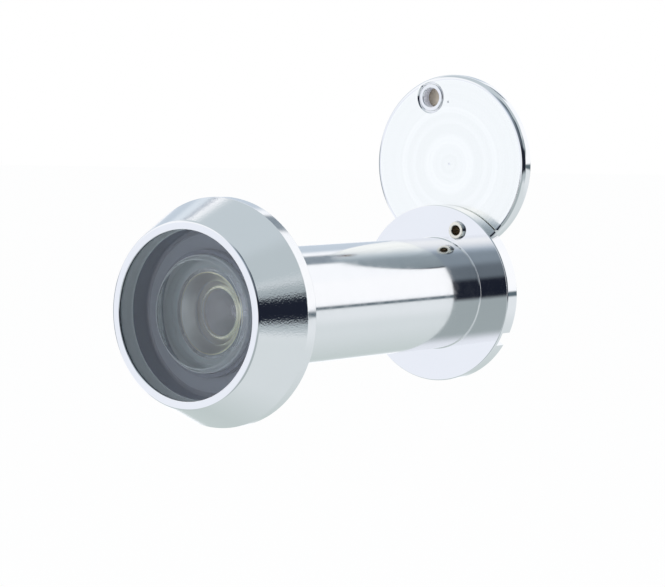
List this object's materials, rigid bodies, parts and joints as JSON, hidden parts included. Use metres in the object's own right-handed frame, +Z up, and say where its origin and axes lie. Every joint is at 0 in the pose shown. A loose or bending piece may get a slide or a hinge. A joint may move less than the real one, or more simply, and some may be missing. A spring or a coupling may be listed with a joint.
{
  "type": "door peephole",
  "caption": "Door viewer: wide-angle lens head on a threaded barrel, flanged inner barrel that screws onto it, and a swing cover over the eyepiece.",
  "frame": {"origin": "centre of the head's rear face, which bears on the door's outer face, on the barrel's axis", "axes": "+Y along the barrel from outside the door into the room, +Z up, +X to the right for someone who stands outside and faces the door"},
  "size_m": [0.0264, 0.0578, 0.0407],
  "materials": {
    "outer_barrel": "polished",
    "front_lens": "polished",
    "lens_carrier": "matte",
    "second_lens": "polished",
    "lens_spacer": "satin",
    "third_lens": "polished",
    "aperture_ring": "satin",
    "eyepiece_lens": "polished",
    "eyepiece_ring": "matte",
    "inner_barrel": "polished",
    "pivot_rivet": "polished",
    "pivot_washer": "satin",
    "spring_washer": "satin",
    "swing_cover": "polished",
    "cover_knob": "polished"
  },
  "bodies": {
    "outer_half": {"outer_barrel": "outer_barrel", "front_lens": "front_lens", "lens_carrier": "lens_carrier", "second_lens": "second_lens", "lens_spacer": "lens_spacer", "third_lens": "third_lens", "aperture_ring": "aperture_ring"},
    "eyepiece": {"eyepiece_lens": "eyepiece_lens", "eyepiece_ring": "eyepiece_ring"},
    "inner_half": {"inner_barrel": "inner_barrel", "pivot_rivet": "pivot_rivet", "pivot_washer": "pivot_washer", "spring_washer": "spring_washer"},
    "cover": {"swing_cover": "swing_cover", "cover_knob": "cover_knob"}
  },
  "joints": [
    {"name": "barrel_travel", "type": "slide", "parent": "outer_half", "child": "eyepiece", "axis": [0, 1, 0], "range_m": [0, 0.02]},
    {"name": "barrel_turn", "type": "hinge", "parent": "eyepiece", "child": "inner_half", "pos_m": [0, 0, 0], "axis": [0, 1, 0], "range_deg": [0, 7200]},
    {"name": "cover_swing", "type": "hinge", "parent": "inner_half", "child": "cover", "pos_m": [0.00353, 0, 0.008], "axis": [0, 1, 0], "range_deg": [-137.2, 42.8]}
  ],
  "couplings": [
    {"joint": "barrel_travel", "follows": "barrel_turn", "m_per_rad": 0.00015915}
  ]
}
